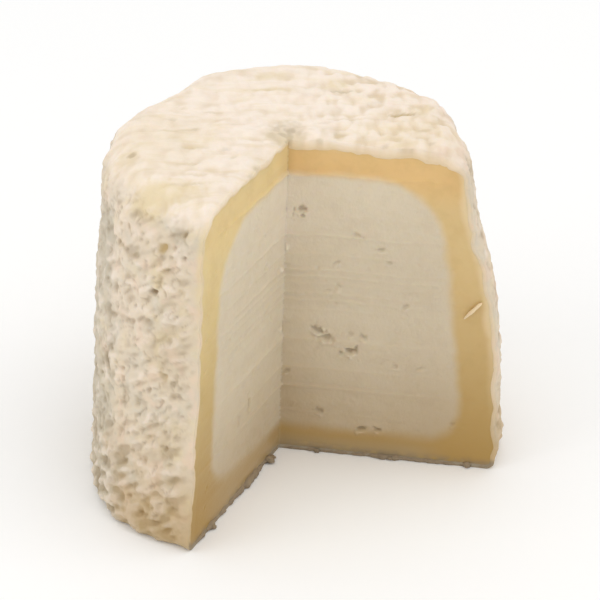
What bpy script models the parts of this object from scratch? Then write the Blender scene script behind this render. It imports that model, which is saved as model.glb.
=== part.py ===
"""A small drum of soft, ripened goat cheese with a wedge cut out of it.

Two solids make it. The creamline is the ripened layer under the rind: its outside carries the
rind's wrinkles and pits. The paste is the white heart, which the two cuts lay open.
Metres, +Z up. The origin is the centre of the underside, and the open wedge faces +X and -Y.
"""

import math

import bmesh
import bpy
from mathutils import Matrix, Vector, noise

MM = 0.001

# The drum, before its rind's relief: a little wider at its foot than at its top
BASE_RADIUS = 32.0 * MM
TOP_RADIUS = 26.6 * MM
HEIGHT = 54.9 * MM
BARREL = 0.64 * MM
CROWN = 0.1 * MM
SHOULDER = 4.7 * MM
FOOT = 1.3 * MM

# The creamline's thickness at the right cut, and the rounding where its inside turns a corner
SIDE_LAYER = 4.7 * MM
TOP_LAYER = 5.4 * MM
BASE_LAYER = 4.2 * MM
HEART_SHOULDER = 6.5 * MM
HEART_FOOT = 6.0 * MM
GAP = 0.3 * MM

# How much thicker the creamline has become by the time it reaches the left cut
SIDE_GAIN = 1.5 * MM
TOP_GAIN = 1.8 * MM
BASE_GAIN = 2.4 * MM

# The wedge taken out: where its two cuts meet at the foot and at the top, and the direction in
# which each runs out
CORNER_FOOT = Vector((-1.68 * MM, -0.40 * MM, 0.0))
CORNER_TOP = Vector((-0.94 * MM, -0.26 * MM, HEIGHT))
LEFT_CUT = math.radians(264.0)
RIGHT_CUT = math.radians(8.9)

# The rind's relief: broad lumps, then folds, then pits, whose width is a share of their spacing.
# Folds and pits are shallower on the top, by its share.
LUMP_HEIGHT = 0.60 * MM
LUMP_SIZE = 11.0 * MM
FOLD_HEIGHT = 0.30 * MM
FOLD_SIZE = 4.6 * MM
FOLD_SHARPNESS = 3.0
PIT_DEPTH = 0.60 * MM
PIT_SPACING = 4.8 * MM
PIT_WIDTH = 0.45
TOP_SHARE = 0.4

# Where the hand-moulded drum is out of true: azimuth in degrees and height, then how far it
# stands out, and over how many degrees and how much height it fades
BULGES = (
    (15.8, 48 * MM, -0.60 * MM, 22, 9 * MM),
    (15.8, 34 * MM, 0.61 * MM, 22, 10 * MM),
    (15.8, 18 * MM, 0.97 * MM, 22, 10 * MM),
    (15.8, 4 * MM, 0.47 * MM, 22, 7 * MM),
    (203, 48 * MM, 0.25 * MM, 25, 9 * MM),
    (203, 34 * MM, 0.13 * MM, 25, 10 * MM),
    (203, 18 * MM, -0.56 * MM, 25, 10 * MM),
    (203, 4 * MM, -0.86 * MM, 25, 7 * MM),
    (235, 4 * MM, 1.38 * MM, 22, 9 * MM),
    (258, 4 * MM, -0.08 * MM, 18, 9 * MM),
    (258, 28 * MM, -0.69 * MM, 20, 14 * MM),
    (258, 48 * MM, 0.06 * MM, 20, 9 * MM),
    (60, 53 * MM, -0.08 * MM, 22, 8 * MM),
    (110, 53 * MM, 1.07 * MM, 22, 8 * MM),
    (155, 53 * MM, -0.43 * MM, 22, 8 * MM),
    (15.8, 53 * MM, -0.36 * MM, 22, 5 * MM),
    (203, 53 * MM, 0.53 * MM, 25, 5 * MM),
    (15.8, 43 * MM, -0.80 * MM, 22, 5 * MM),
    (12, 0.5 * MM, -0.60 * MM, 16, 2.5 * MM),
    (203, 15 * MM, -0.40 * MM, 25, 8 * MM),
    (203, 42 * MM, -0.30 * MM, 25, 5 * MM),
    (208, 1 * MM, 0.20 * MM, 14, 4 * MM),
    (242, 1 * MM, 0.40 * MM, 12, 4 * MM),
    (157, 54 * MM, -0.80 * MM, 10, 6 * MM),
    (141, 54 * MM, 0.90 * MM, 9, 6 * MM),
    (82, 54 * MM, -1.10 * MM, 13, 6 * MM),
    (48, 54 * MM, 1.20 * MM, 10, 6 * MM),
    (38, 54 * MM, -1.00 * MM, 8, 6 * MM),
    (20, 49 * MM, 0.40 * MM, 10, 5 * MM),
)

# Small openings in the paste at each cut: distance out from the corner, height, half length,
# half height and tilt in degrees
RIGHT_PITS = (
    (3.5 * MM, 43.0 * MM, 0.9 * MM, 0.7 * MM, 20.0),
    (5.8 * MM, 21.3 * MM, 1.0 * MM, 0.6 * MM, -30.0),
    (8.0 * MM, 19.9 * MM, 1.1 * MM, 0.6 * MM, -35.0),
    (10.6 * MM, 18.6 * MM, 1.1 * MM, 0.8 * MM, -10.0),
    (12.4 * MM, 21.0 * MM, 0.7 * MM, 0.6 * MM, 30.0),
    (19.6 * MM, 27.2 * MM, 1.2 * MM, 0.5 * MM, 40.0),
    (13.0 * MM, 5.0 * MM, 0.8 * MM, 0.5 * MM, 0.0),
    (15.7 * MM, 37.2 * MM, 0.6 * MM, 0.4 * MM, 10.0),
    (6.5 * MM, 7.6 * MM, 0.6 * MM, 0.5 * MM, -20.0),
)
LEFT_PITS = (
    (11.4 * MM, 14.8 * MM, 0.7 * MM, 1.6 * MM, -15.0),
    (6.2 * MM, 36.0 * MM, 0.7 * MM, 0.5 * MM, 0.0),
)
OPENING_DEPTH = 0.7 * MM

# How finely the two bodies are turned, and the rings of points down each half section
RIND_STEPS = 116
RIND_WALL_RINGS = 25
RIND_TOP_RINGS = 8
HEART_STEPS = 56
HEART_WALL_RINGS = 7
HEART_TOP_RINGS = 3
SHOULDER_RINGS = 8
FOOT_RINGS = 3
BASE_RINGS = (0.8, 0.45, 0.0)
MERGE = 0.01 * MM
SHARP_FROM = math.radians(50)

RIND_COLOUR = (0.80, 0.70, 0.55, 1.0)
CREAM_COLOUR = (0.66, 0.47, 0.22, 1.0)
PASTE_COLOUR = (0.78, 0.71, 0.58, 1.0)


def material(name, colour, roughness):
    """A plain finish."""
    made = bpy.data.materials.new(name)
    made.use_nodes = True
    made.diffuse_color = colour
    shader = made.node_tree.nodes["Principled BSDF"]
    shader.inputs["Base Color"].default_value = colour
    shader.inputs["Roughness"].default_value = roughness
    shader.inputs["Metallic"].default_value = 0.0
    return made


def collection(name):
    """A collection linked to the scene."""
    made = bpy.data.collections.new(name)
    bpy.context.scene.collection.children.link(made)
    return made


def add_object(name, mesh, holder):
    """An object that shows a mesh, in a collection."""
    made = bpy.data.objects.new(name, mesh)
    holder.objects.link(made)
    return made


def corner_at(height):
    """Where the wedge's two cuts meet at a height."""
    return CORNER_FOOT.lerp(CORNER_TOP, height / HEIGHT)


def wall_radius(height):
    """The plain drum's radius at a height, without its rounded shoulder."""
    share = height / HEIGHT
    return BASE_RADIUS + (TOP_RADIUS - BASE_RADIUS) * share + BARREL * 4 * share * (1 - share)


def quarter_turn(steps):
    """Angles from 0 to 90 degrees, both ends included."""
    return [math.pi / 2 * step / steps for step in range(steps + 1)]


def drum_profile(inset, top, base, shoulder, foot, wall_rings, top_rings):
    """The half section of a drum within the cheese, from its top's centre down to its base's.

    inset is its distance in from the wall; top and base are its highest and lowest level.
    """
    points = []
    rim = wall_radius(top) - inset - shoulder
    for ring in range(top_rings):
        share = ring / top_rings
        points.append((rim * share, top + CROWN * (1 - share * share)))
    for angle in quarter_turn(SHOULDER_RINGS):
        height = top - shoulder + shoulder * math.cos(angle)
        points.append((wall_radius(height) - inset - shoulder * (1 - math.sin(angle)), height))
    high = top - shoulder
    low = base + foot
    for ring in range(1, wall_rings):
        height = high + (low - high) * ring / wall_rings
        points.append((wall_radius(height) - inset, height))
    for angle in quarter_turn(FOOT_RINGS):
        height = base + foot - foot * math.sin(angle)
        points.append((wall_radius(low) - inset - foot * (1 - math.cos(angle)), height))
    edge = points[-1][0]
    points += [(edge * share, base) for share in BASE_RINGS]
    return points


def turned(name, profile, steps, holder):
    """A half section turned about +Z into a closed mesh."""
    section = bpy.data.meshes.new(name + "_section")
    vertices = [(radius, 0.0, height) for radius, height in profile]
    section.from_pydata(vertices, [(i, i + 1) for i in range(len(vertices) - 1)], [])
    lathe = add_object(name + "_lathe", section, holder)
    screw = lathe.modifiers.new("Turn", "SCREW")
    screw.steps = steps
    screw.render_steps = steps
    screw.use_merge_vertices = True
    screw.merge_threshold = MERGE
    graph = bpy.context.evaluated_depsgraph_get()
    mesh = bpy.data.meshes.new_from_object(lathe.evaluated_get(graph))
    mesh.name = name
    bpy.data.objects.remove(lathe)
    return add_object(name, mesh, holder)


def bulge(point):
    """How far the drum is out of true at a point."""
    azimuth = math.degrees(math.atan2(point.y, point.x))
    total = 0.0
    for centre, height, out, spread, tall in BULGES:
        turn = (azimuth - centre + 180.0) % 360.0 - 180.0
        total += out * math.exp(-((turn / spread) ** 2) - ((point.z - height) / tall) ** 2)
    return total


def rind_relief(point, upward):
    """How far the rind stands out at a point. upward is 0 on the wall and 1 on the top."""
    lumps = LUMP_HEIGHT * noise.noise(point / LUMP_SIZE)
    folds = FOLD_HEIGHT * (1 - FOLD_SHARPNESS * abs(noise.noise(point / FOLD_SIZE)))
    nearest = noise.voronoi(point / PIT_SPACING)[0][0]
    pits = -PIT_DEPTH * max(0.0, 1 - nearest / PIT_WIDTH)
    return lumps + (folds + pits) * (1 - (1 - TOP_SHARE) * upward)


def roughen(drum):
    """Moves the drum's skin out and in by the bulges and the rind's relief.

    The underside stays flat, and its rim only moves in or out.
    """
    mesh = drum.data
    rim = BASE_RADIUS - 2 * FOOT
    moved = []
    for vertex in mesh.vertices:
        point = vertex.co.copy()
        out = Vector((point.x, point.y, 0.0))
        if point.z < MERGE and out.length < rim:
            moved.append(point)
            continue
        rim_share = min(1.0, out.length / rim)
        out.normalize()
        relief = rind_relief(point, max(0.0, vertex.normal.z))
        along = out if point.z < FOOT else vertex.normal
        moved.append(point + along * relief + out * bulge(point) * rim_share)
    for vertex, place in zip(mesh.vertices, moved):
        vertex.co = place
    shaped = bmesh.new()
    shaped.from_mesh(mesh)
    bmesh.ops.triangulate(shaped, faces=shaped.faces[:])
    shaped.to_mesh(mesh)
    shaped.free()


def wedge_cutter(name, surface, holder):
    """The wedge taken out of the cheese, as a leaning prism taller and longer than it."""
    reach = 3 * BASE_RADIUS
    start = corner_at(-HEIGHT / 2)
    end = corner_at(HEIGHT * 3 / 2)
    middle = (LEFT_CUT + RIGHT_CUT) / 2 + math.pi
    outline = [start]
    for angle in (LEFT_CUT, middle, RIGHT_CUT):
        outline.append(start + reach * Vector((math.cos(angle), math.sin(angle), 0.0)))
    prism = bmesh.new()
    floor = prism.faces.new([prism.verts.new(corner) for corner in outline])
    lifted = bmesh.ops.extrude_face_region(prism, geom=[floor])
    top = [item for item in lifted["geom"] if isinstance(item, bmesh.types.BMVert)]
    bmesh.ops.translate(prism, verts=top, vec=end - start)
    bmesh.ops.recalc_face_normals(prism, faces=prism.faces[:])
    mesh = bpy.data.meshes.new(name)
    prism.to_mesh(mesh)
    prism.free()
    mesh.materials.append(surface)
    return as_cutter(add_object(name, mesh, holder))


def pit_cutter(surface, holder):
    """Small flattened balls set half into the two cut faces."""
    balls = bmesh.new()
    for direction, pits in ((RIGHT_CUT, RIGHT_PITS), (LEFT_CUT, LEFT_PITS)):
        out = Vector((math.cos(direction), math.sin(direction), 0.0))
        facing = Matrix.Rotation(direction, 4, "Z")
        for distance, height, long, tall, tilt in pits:
            place = Matrix.Translation(corner_at(height) + out * distance)
            lean = Matrix.Rotation(math.radians(-tilt), 4, "Y")
            size = Matrix.Diagonal((long, OPENING_DEPTH, tall, 1.0))
            bmesh.ops.create_icosphere(
                balls, subdivisions=1, radius=1.0, matrix=place @ facing @ lean @ size
            )
    mesh = bpy.data.meshes.new("pits")
    balls.to_mesh(mesh)
    balls.free()
    mesh.materials.append(surface)
    return as_cutter(add_object("pits", mesh, holder))


def as_cutter(tool):
    """Marks a helper that only cuts."""
    tool.hide_render = True
    tool.display_type = "WIRE"
    return tool


def cut(piece, tool):
    """Takes a tool's shape out of a piece, and gives the new faces the tool's finish."""
    boolean = piece.modifiers.new("Cut " + tool.name, "BOOLEAN")
    boolean.operation = "DIFFERENCE"
    boolean.solver = "EXACT"
    boolean.object = tool
    boolean.material_mode = "TRANSFER"


def left_share(place):
    """How near a place is to the left cut, going round through the cheese: 0 to 1."""
    circle = 2 * math.pi
    turn = (math.atan2(place.y, place.x) - RIGHT_CUT) % circle
    body = LEFT_CUT - RIGHT_CUT
    if turn < body:
        return turn / body
    return (circle - turn) / (circle - body)


def shrink(drum):
    """Draws a drum within the cheese in from the rind, most of all at the left cut."""
    tall = HEIGHT - TOP_LAYER - BASE_LAYER
    for vertex in drum.data.vertices:
        point = vertex.co
        share = left_share(point)
        wall = wall_radius(point.z) - SIDE_LAYER
        outness = min(1.0, math.hypot(point.x, point.y) / wall)
        up = (point.z - BASE_LAYER) / tall
        rise = BASE_GAIN * (1 - up) - TOP_GAIN * up
        narrower = 1 - SIDE_GAIN * share / wall
        vertex.co = (point.x * narrower, point.y * narrower, point.z + rise * share * outness)


def heart_profile(clearance):
    """The paste's half section, made larger all round by a clearance."""
    return drum_profile(
        inset=SIDE_LAYER - clearance,
        top=HEIGHT - TOP_LAYER + clearance,
        base=BASE_LAYER - clearance,
        shoulder=HEART_SHOULDER,
        foot=HEART_FOOT,
        wall_rings=HEART_WALL_RINGS,
        top_rings=HEART_TOP_RINGS,
    )


def make_creamline(rind, cream, cheese, cutters):
    """The ripened layer: a rough drum, hollowed for the paste and opened by the wedge."""
    skin = drum_profile(0.0, HEIGHT, 0.0, SHOULDER, FOOT, RIND_WALL_RINGS, RIND_TOP_RINGS)
    layer = turned("creamline", skin, RIND_STEPS, cheese)
    roughen(layer)
    layer.data.materials.append(rind)
    hollow = turned("hollow", heart_profile(GAP), HEART_STEPS, cutters)
    shrink(hollow)
    hollow.data.materials.append(cream)
    cut(layer, as_cutter(hollow))
    cut(layer, wedge_cutter("creamline_wedge", cream, cutters))
    shade(layer)


def make_paste(white, cheese, cutters):
    """The white heart, cut by the same wedge, with small openings in the cut faces."""
    heart = turned("paste", heart_profile(0.0), HEART_STEPS, cheese)
    shrink(heart)
    heart.data.materials.append(white)
    cut(heart, wedge_cutter("paste_wedge", white, cutters))
    cut(heart, pit_cutter(white, cutters))
    shade(heart)


def shade(piece):
    """Smooth shading, with the cuts' edges left sharp."""
    piece.data.shade_smooth()
    piece.data.set_sharp_from_angle(angle=SHARP_FROM)


def main():
    """Clears the scene and builds the cheese."""
    for old in list(bpy.data.objects):
        bpy.data.objects.remove(old)
    cheese = collection("goat_cheese")
    cutters = collection("cutters")
    cutters.hide_render = True
    rind = material("rind", RIND_COLOUR, 0.75)
    cream = material("ripened_cream", CREAM_COLOUR, 0.40)
    white = material("white_paste", PASTE_COLOUR, 0.60)
    make_creamline(rind, cream, cheese, cutters)
    make_paste(white, cheese, cutters)


main()
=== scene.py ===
"""A small drum of ripened goat cheese with a wedge cut out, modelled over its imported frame.

The rind is a thin rough skin of its own. Inside it, one body holds the ripened cream layer and
the white paste, with the two cut faces as real relief. Scraps left by the knife lie on them.
Metres, +Z up, in the frame's own axes: the open wedge faces +X and -Y.
"""

import math
import random

import bmesh
import bpy
import numpy as np
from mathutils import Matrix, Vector, noise


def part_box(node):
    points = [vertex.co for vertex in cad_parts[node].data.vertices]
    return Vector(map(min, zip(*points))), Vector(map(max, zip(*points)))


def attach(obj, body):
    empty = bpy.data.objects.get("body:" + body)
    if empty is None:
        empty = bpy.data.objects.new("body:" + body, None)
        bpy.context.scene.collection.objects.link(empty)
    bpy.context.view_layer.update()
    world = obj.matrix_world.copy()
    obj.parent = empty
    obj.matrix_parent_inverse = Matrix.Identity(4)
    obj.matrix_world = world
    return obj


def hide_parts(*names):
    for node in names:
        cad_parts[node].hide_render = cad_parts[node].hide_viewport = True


bl_info = {
    "name": "Goat Cheese Drum",
    "version": (1, 0, 0),
    "blender": (4, 5, 0),
    "location": "3D View > Sidebar > Goat Cheese",
    "description": "Builds a cut drum of ripened goat cheese on a plain stage",
    "category": "Add Mesh",
}

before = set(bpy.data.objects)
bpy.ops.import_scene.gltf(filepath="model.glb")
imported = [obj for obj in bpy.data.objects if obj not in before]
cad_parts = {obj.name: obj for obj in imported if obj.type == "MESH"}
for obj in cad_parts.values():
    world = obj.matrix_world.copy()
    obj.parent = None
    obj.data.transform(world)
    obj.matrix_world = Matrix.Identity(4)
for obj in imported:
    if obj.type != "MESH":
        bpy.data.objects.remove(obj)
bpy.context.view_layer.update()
HEART_LOW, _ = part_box("paste")

MM = 0.001

# The wedge taken out: where its two cuts meet at the foot and at the top, and the direction
# in which each runs out
CORNER_FOOT = np.array((-2.12, -0.47)) * MM
CORNER_TOP = np.array((-0.50, -0.19)) * MM
LEFT_CUT = math.radians(-96.0 + 360.0)
RIGHT_CUT = math.radians(8.9)
LEFT_TWIST = math.radians(0.8)

# The photograph's view: where the camera stands round the cheese, and the height of the middle
# that it is set round
VIEW_AZIMUTH = math.radians(19.6)
VIEW_ELEVATION = math.radians(30.4)
VIEW_HEIGHT = 27.8 * MM

# Where the hand-moulded drum is out of true: azimuth in degrees and height, then how far it
# stands out, and over how many degrees and how much height it fades; lengths in millimetres
BULGES = (
    (15.8, 48, -0.6, 22, 9), (15.8, 34, 0.61, 22, 10), (15.8, 18, 0.97, 22, 10),
    (15.8, 4, 0.47, 22, 7), (203, 48, 0.25, 25, 9), (203, 34, 0.13, 25, 10),
    (203, 18, -0.56, 25, 10), (203, 4, -0.86, 25, 7), (235, 4, 1.38, 22, 9),
    (258, 4, -0.08, 18, 9), (258, 28, -0.69, 20, 14), (258, 48, 0.06, 20, 9),
    (60, 53, -0.08, 22, 8), (110, 53, 1.07, 22, 8), (155, 53, -0.43, 22, 8),
    (15.8, 53, -0.36, 22, 5), (203, 53, 0.53, 25, 5), (15.8, 43, -0.8, 22, 5),
    (12, 0.5, -0.6, 16, 2.5), (203, 15, -0.4, 25, 8), (203, 42, -0.3, 25, 5),
    (208, 1, 0.2, 14, 4), (242, 1, 0.4, 12, 4), (157, 54, -0.8, 10, 6), (141, 54, 0.9, 9, 6),
    (82, 54, -1.1, 13, 6), (48, 54, 1.2, 10, 6), (38, 54, -1, 8, 6), (20, 49, 0.4, 10, 5),
)

# Openings in the paste at each cut: distance out from the corner, height, half length, half
# height, tilt in degrees, and depth, in millimetres
RIGHT_PITS = (
    (3.5, 43, 0.9, 0.7, 20, 0.8), (11.9, 39.5, 0.7, 0.35, -25, 0.4),
    (15.7, 37.2, 0.7, 0.35, 10, 0.45), (17.1, 35.2, 0.5, 0.4, 0, 0.35),
    (8.8, 34.2, 0.9, 0.22, 35, 0.3), (6.1, 33, 0.4, 0.4, 0, 0.3), (7.6, 29.5, 0.5, 0.3, 20, 0.3),
    (9.2, 30.4, 0.5, 0.3, -20, 0.35), (19.6, 27.8, 1, 0.35, 30, 0.35),
    (6, 22.1, 1.1, 0.6, -30, 0.8), (7.3, 21, 1.2, 0.5, -5, 0.8), (11.2, 19, 1, 0.6, 12, 0.95),
    (9.6, 18.5, 0.5, 0.35, 30, 0.5), (13.1, 21.6, 0.8, 0.4, -35, 0.5),
    (11.2, 21.9, 0.5, 0.4, 30, 0.3), (1.2, 14.5, 0.5, 0.6, 0, 0.5),
    (18.1, 17, 0.6, 0.25, 0, 0.35), (22.1, 17.1, 0.6, 0.25, 15, 0.3),
    (6.5, 7.6, 0.7, 0.45, -20, 0.5), (13, 5.1, 0.9, 0.4, 5, 0.7), (15.6, 5.2, 0.6, 0.4, -10, 0.6),
    (27.2, 7.6, 0.5, 0.3, 30, 0.3),
)
LEFT_PITS = (
    (11.4, 14.8, 0.6, 1.7, -15, 0.6), (14.8, 14, 0.5, 0.8, 0, 0.35), (6.2, 36, 0.6, 0.4, 0, 0.3),
    (4, 26, 0.4, 0.5, 0, 0.3), (18, 30, 0.4, 0.3, 0, 0.2),
)

# Crumbs that stand out of each cut, in the same form: their last number is how far
RIGHT_BUMPS = (
    (1, 42.5, 0.5, 0.6, 0, 0.45), (0.9, 39.3, 0.5, 0.7, 0, 0.5), (1.1, 36.3, 0.5, 0.5, 0, 0.35),
    (4.4, 42.4, 0.6, 0.3, 0, 0.15), (9.3, 29.3, 0.6, 0.3, 20, 0.15),
    (11.3, 17.6, 0.9, 0.3, 0, 0.15), (7.1, 22.2, 0.6, 0.3, -30, 0.15),
)
LEFT_BUMPS = ((0.8, 33, 0.4, 0.6, 0, 0.3), (0.7, 22, 0.4, 0.5, 0, 0.3))

# Crumbs by the foot of the cuts: which cut, how far along it, height, how far off it, and size
CRUMBS = (
    ("left", 4.6, 0.7, 0.6, 0.62), ("left", 3.4, 0.45, 0.45, 0.42),
    ("left", 24.4, 0.45, 0.35, 0.5), ("right", 6.1, 0.3, 0.3, 0.35),
    ("right", 17.7, 0.3, 0.25, 0.35), ("right", 29.7, 0.4, 0.15, 0.5),
)

# Marks on the wall: azimuth in degrees and height, then half width, half height, tilt in
# degrees, depth, darkness from 0 to 1 and yellowness from 0 to 1; lengths in millimetres
WALL_MARKS = (
    (231.8, 48.2, 0.4, 0.5, 0, 0.3, 0.55, 0), (226, 44.3, 0.45, 0.4, 0, 0.3, 0.6, 0),
    (233.7, 43.9, 0.8, 0.3, 0, 0.15, 0.3, 0.2), (247.2, 47.5, 0.95, 0.8, 0, 0.5, 0.72, 1),
    (251.9, 50.3, 1.4, 0.3, 0, 0.2, 0.3, 0), (255.1, 50.7, 0.4, 0.45, 0, 0.25, 0.6, 0),
    (248.7, 44.3, 0.75, 0.25, 0, 0.25, 0.5, 0), (244.7, 40.2, 1.05, 0.52, 0, 0.8, 1, 0),
    (228.1, 34.1, 0.5, 0.4, 0, 0.3, 0.45, 0), (237.2, 36.4, 0.45, 0.4, 0, 0.3, 0.45, 0),
    (236.1, 33.6, 0.65, 0.35, 0, 0.3, 0.5, 0), (242.5, 35.1, 0.6, 0.35, 0, 0.2, 0.3, 0),
    (251.7, 36.1, 1.3, 0.35, -15, 0.3, 0.4, 0.2), (258, 38.5, 1.2, 0.3, 5, 0.2, 0.35, 0.2),
    (255.7, 42, 0.9, 0.7, 0, 0.25, 0.25, 0.3), (238, 31.3, 0.4, 0.4, 0, 0.25, 0.35, 0),
    (251.6, 33.5, 0.6, 0.8, 0, 0.25, 0.4, 0), (224.4, 23.8, 0.5, 1.7, 15, 0.6, 0.75, 0),
    (241.1, 41.9, 0.4, 0.45, 0, 0.2, 0.35, 0), (244.7, 37.3, 0.5, 0.35, 0, 0.15, 0.25, 0),
    (250.4, 37.8, 0.4, 0.3, 0, 0.15, 0.3, 0), (234.7, 50.3, 0.35, 0.8, 0, 0.15, 0.25, 0),
    (255.6, 47.3, 0.5, 0.4, 0, 0.15, 0.25, 0), (256.5, 34.7, 0.5, 0.4, 0, 0.15, 0.3, 0),
    (233.6, 23.6, 0.55, 0.4, 0, 0.3, 0.4, 0), (249.3, 27.2, 0.5, 1.1, 30, 0.35, 0.4, 0.4),
    (253.8, 24.7, 0.9, 0.55, -5, 0.35, 0.5, 0), (244.7, 24.1, 0.45, 0.5, 0, 0.4, 0.6, 0),
    (249.5, 23, 0.5, 0.4, 0, 0.3, 0.5, 0), (232, 18.9, 0.5, 0.4, 0, 0.3, 0.45, 0),
    (240, 20.7, 0.5, 0.4, 0, 0.35, 0.5, 0), (240, 18.7, 0.35, 0.5, 0, 0.2, 0.3, 0),
    (247.8, 20, 0.6, 0.5, 0, 0.3, 0.4, 0), (252.7, 22.8, 0.5, 0.5, 0, 0.2, 0.3, 0),
    (258.1, 21.5, 0.9, 0.3, -10, 0.2, 0.35, 0.2), (229.7, 15.3, 0.4, 0.8, 10, 0.2, 0.35, 0),
    (233.8, 14.8, 0.7, 0.5, 0, 0.3, 0.4, 0), (239.8, 15.8, 0.8, 0.4, -15, 0.25, 0.35, 0),
    (245.9, 16.4, 1.1, 0.35, 0, 0.25, 0.4, 0.3), (241.7, 13.9, 1.1, 0.6, 0, 0.35, 0.42, 0),
    (245.3, 12.7, 0.45, 0.5, 0, 0.3, 0.5, 0.2), (251.6, 15.6, 0.5, 0.5, 0, 0.5, 0.75, 0),
    (254.2, 14.9, 0.55, 0.45, 0, 0.3, 0.55, 0), (256, 18.2, 0.6, 0.6, 0, 0.3, 0.45, 0),
    (236, 9.5, 1, 0.7, 20, 0.35, 0.34, 0.2), (234.3, 6.5, 0.8, 0.9, 0, 0.35, 0.36, 0),
    (249.3, 12.5, 0.5, 0.4, 0, 0.2, 0.35, 0), (258.6, 13.9, 0.9, 0.5, -20, 0.25, 0.35, 0.3),
    (255.3, 11.1, 1.3, 0.8, 0, 0.35, 0.36, 0.2), (248.8, 9, 0.5, 0.35, 0, 0.3, 0.5, 0),
    (238.8, 4.8, 0.8, 0.6, -35, 0.35, 0.5, 0), (247.4, 6.2, 0.8, 0.9, 0, 0.4, 0.4, 0.2),
    (245.7, 4.2, 0.6, 0.6, 0, 0.5, 0.75, 0), (254.9, 6.4, 0.5, 0.7, 0, 0.3, 0.2, 0),
    (251.8, 6.5, 0.5, 0.5, 0, 0.2, 0.3, 0), (254.2, 2.7, 0.8, 0.5, 0, 0.2, 0.4, 0.3),
    (254.6, 30.5, 2.3, 0.25, 0, 0.2, 0.35, 0), (254.4, 27.7, 0.3, 1.1, 0, 0.2, 0.4, 0),
    (258.3, 27.1, 0.4, 0.4, 0, 0.15, 0.3, 0), (252, 32.5, 4.5, 5, 0, 0, 0.22, 0.1),
    (252, 17.5, 4.5, 4, 0, 0, 0.2, 0.1),
)

# Millimetres round the wall for each degree
AROUND = 30.0 * math.pi / 180

# How steeply the wall's wrinkles climb round it, and the azimuth that they climb away from
LEAN = 0.42
LEAN_MIDDLE = 232.0

# Where the wall's relief is calmer, and where its hollows are paler: azimuth, over how many
# degrees, and by how much
CALM = ((200.0, 10.0, 0.3), (15.0, 10.0, 0.35))
CLEAN_COLOUR = (200.0, 14.0, 0.3)

# The size of a soft streak on the top: along the main view, away in it, and up
STREAK_SIZE = (9.0 * MM, 1.6 * MM, 9.0 * MM)

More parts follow.
